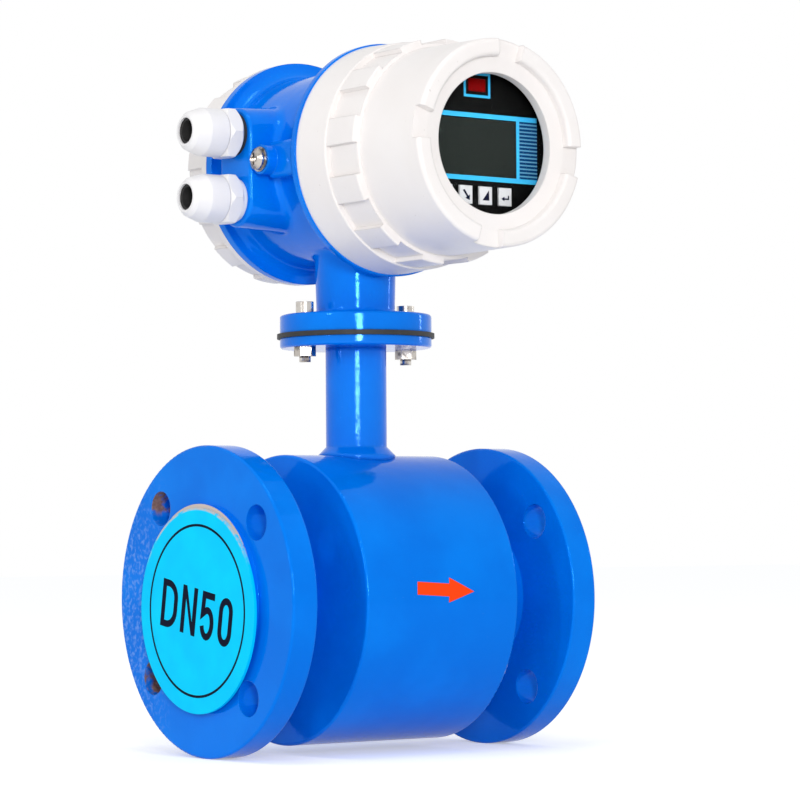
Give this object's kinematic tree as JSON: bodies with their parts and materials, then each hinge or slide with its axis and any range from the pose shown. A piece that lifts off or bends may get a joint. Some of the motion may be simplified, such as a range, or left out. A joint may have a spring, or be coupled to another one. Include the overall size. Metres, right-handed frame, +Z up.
{
  "type": "electromagnetic flow meter",
  "caption": "Flanged electromagnetic flow meter: short pipe section with round coil housing, neck and a round converter head with a window cover and cable glands.",
  "frame": {"origin": "centre of the flow bore, half way between the two raised faces, under the neck", "axes": "+X along the pipe in the flow direction, towards the outlet flange; +Z up the neck to the head; the display faces -Y"},
  "size_m": [0.2015, 0.2055, 0.3705],
  "materials": {
    "paint_blue": "satin blue enamel",
    "cast_blue": "die-cast, satin blue enamel",
    "cast_white": "die-cast, satin white enamel",
    "stainless": "turned",
    "liner": "smooth",
    "disc": "satin",
    "iron": "rolled",
    "winding": "enamelled wire",
    "seal": "matt",
    "zinc": "zinc plated",
    "nylon": "moulded",
    "glass": "polished",
    "panel": "fine texture",
    "display": "glossy",
    "lamp": "glossy",
    "key": "fine texture",
    "board": "solder mask",
    "terminal": "moulded"
  },
  "bodies": {
    "meter": {"inlet_flange": "paint_blue", "outlet_flange": "paint_blue", "measuring_tube": "stainless", "tube_liner": "liner", "inlet_disc": "disc", "coil_housing_shell": "paint_blue", "inlet_end_plate": "paint_blue", "outlet_end_plate": "paint_blue", "magnet_yoke": "iron", "upper_pole_shoe": "iron", "lower_pole_shoe": "iron", "upper_coil": "winding", "lower_coil": "winding", "front_electrode": "stainless", "rear_electrode": "stainless", "electrode_bushes": "nylon", "electrode_nuts": "stainless", "neck_pipe": "paint_blue", "neck_plate": "paint_blue", "neck_gasket": "seal", "neck_bolts": "zinc", "neck_nuts": "zinc", "converter_housing": "cast_blue", "display_bezel": "panel", "lcd_module": "display", "infrared_window": "lamp", "display_board": "board", "main_board": "board", "power_board": "board", "power_pillars": "zinc", "main_pillars": "zinc", "display_pillars": "zinc", "power_transformer": "panel", "terminal_block": "terminal", "terminal_screws": "zinc", "upper_gland_washer": "seal", "upper_gland_body": "nylon", "lower_gland_washer": "nylon", "lower_gland_body": "nylon", "earth_washer": "zinc", "earth_screw": "zinc"},
    "front_seal": {"front_cover_seal": "seal"},
    "front_cover": {"front_cover": "cast_white", "window_gasket": "seal", "window_glass": "glass", "window_retaining_ring": "stainless"},
    "rear_seal": {"rear_cover_seal": "seal"},
    "rear_cover": {"rear_cover": "cast_white"},
    "upper_insert": {"upper_gland_insert": "seal"},
    "upper_nut": {"upper_gland_nut": "nylon"},
    "lower_insert": {"lower_gland_insert": "seal"},
    "lower_nut": {"lower_gland_nut": "nylon"},
    "key_back": {"key_back": "key"},
    "key_down": {"key_down": "key"},
    "key_up": {"key_up": "key"},
    "key_enter": {"key_enter": "key"}
  },
  "joints": [
    {"name": "front_cover_advance", "type": "slide", "parent": "meter", "child": "front_seal", "axis": [0, -1, 0], "range_m": [0, 0.01]},
    {"name": "front_cover_turn", "type": "hinge", "parent": "front_seal", "child": "front_cover", "pos_m": [0, 0, 0.2295], "axis": [0, -1, 0], "range_deg": [0, 1800]},
    {"name": "rear_cover_advance", "type": "slide", "parent": "meter", "child": "rear_seal", "axis": [0, 1, 0], "range_m": [0, 0.01]},
    {"name": "rear_cover_turn", "type": "hinge", "parent": "rear_seal", "child": "rear_cover", "pos_m": [0, 0, 0.2295], "axis": [0, 1, 0], "range_deg": [0, 1800]},
    {"name": "upper_nut_advance", "type": "slide", "parent": "meter", "child": "upper_insert", "axis": [-1, 0, 0], "range_m": [0, 0.006]},
    {"name": "upper_nut_turn", "type": "hinge", "parent": "upper_insert", "child": "upper_nut", "pos_m": [-0.08, 0.0147, 0.2431], "axis": [-1, 0, 0], "range_deg": [0, 1440]},
    {"name": "lower_nut_advance", "type": "slide", "parent": "meter", "child": "lower_insert", "axis": [-1, 0, 0], "range_m": [0, 0.006]},
    {"name": "lower_nut_turn", "type": "hinge", "parent": "lower_insert", "child": "lower_nut", "pos_m": [-0.08, 0.0147, 0.2087], "axis": [-1, 0, 0], "range_deg": [0, 1440]},
    {"name": "key_back_press", "type": "slide", "parent": "meter", "child": "key_back", "axis": [0, 1, 0], "range_m": [0, 0.0005], "stiffness_N_per_m": 800, "springref_m": -0.0005},
    {"name": "key_down_press", "type": "slide", "parent": "meter", "child": "key_down", "axis": [0, 1, 0], "range_m": [0, 0.0005], "stiffness_N_per_m": 800, "springref_m": -0.0005},
    {"name": "key_up_press", "type": "slide", "parent": "meter", "child": "key_up", "axis": [0, 1, 0], "range_m": [0, 0.0005], "stiffness_N_per_m": 800, "springref_m": -0.0005},
    {"name": "key_enter_press", "type": "slide", "parent": "meter", "child": "key_enter", "axis": [0, 1, 0], "range_m": [0, 0.0005], "stiffness_N_per_m": 800, "springref_m": -0.0005}
  ],
  "couplings": [
    {"joint": "front_cover_advance", "follows": "front_cover_turn", "m_per_rad": 0.00031831},
    {"joint": "rear_cover_advance", "follows": "rear_cover_turn", "m_per_rad": 0.00031831},
    {"joint": "upper_nut_advance", "follows": "upper_nut_turn", "m_per_rad": 0.00023873},
    {"joint": "lower_nut_advance", "follows": "lower_nut_turn", "m_per_rad": 0.00023873}
  ]
}
